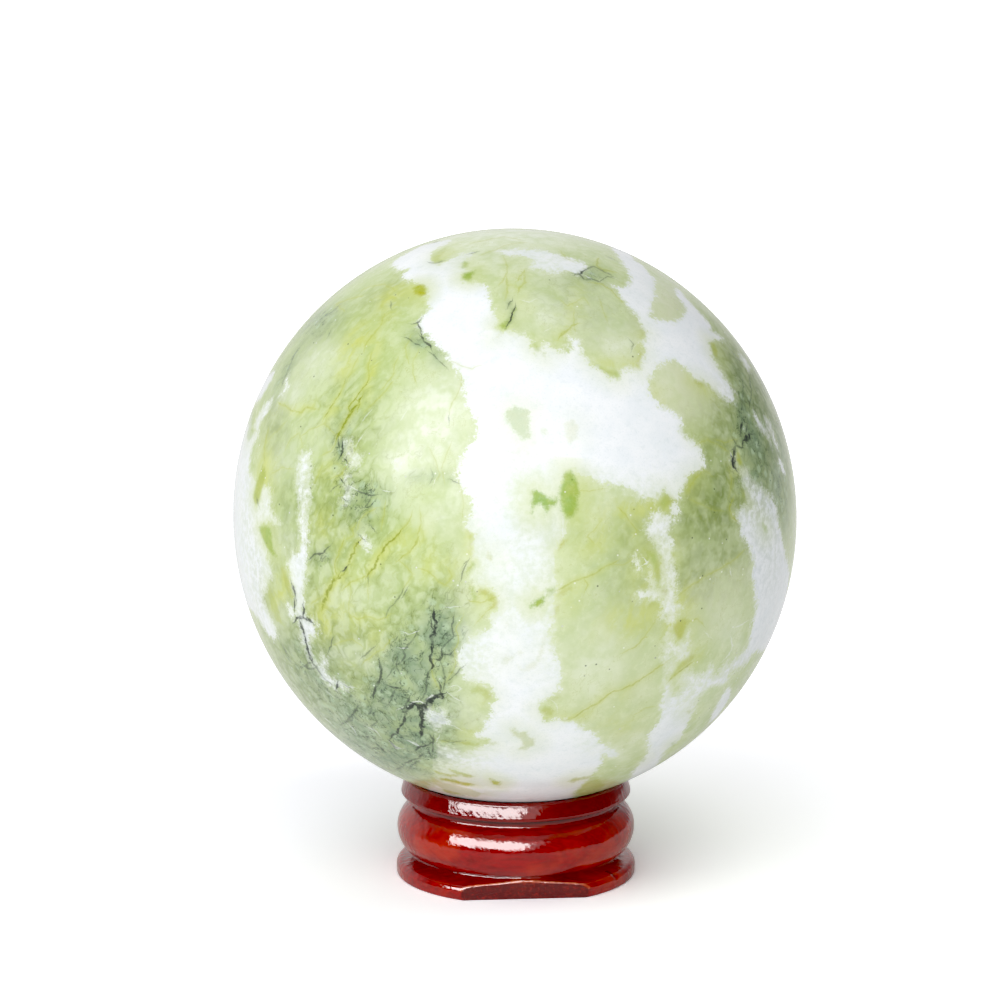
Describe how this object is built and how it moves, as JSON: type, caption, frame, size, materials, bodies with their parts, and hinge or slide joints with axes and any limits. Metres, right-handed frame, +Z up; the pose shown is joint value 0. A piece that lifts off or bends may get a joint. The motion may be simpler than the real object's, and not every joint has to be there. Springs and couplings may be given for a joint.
{
  "type": "decorative sphere",
  "caption": "Polished green and white stone ball resting in a small turned, red lacquered wooden ring stand; a tabletop ornament.",
  "frame": {"origin": "centre of the ring stand's underside, on the surface it stands on", "axes": "+Z up through the stand and the ball; -Y towards the front, the side with the flat on the stand's base; +X to the right seen from the front"},
  "size_m": [0.0988, 0.0988, 0.115],
  "materials": {
    "stone": "polished",
    "lacquered_wood": "gloss"
  },
  "bodies": {
    "root": {"stone_sphere": "stone", "ring_stand": "lacquered_wood"}
  },
  "joints": []
}
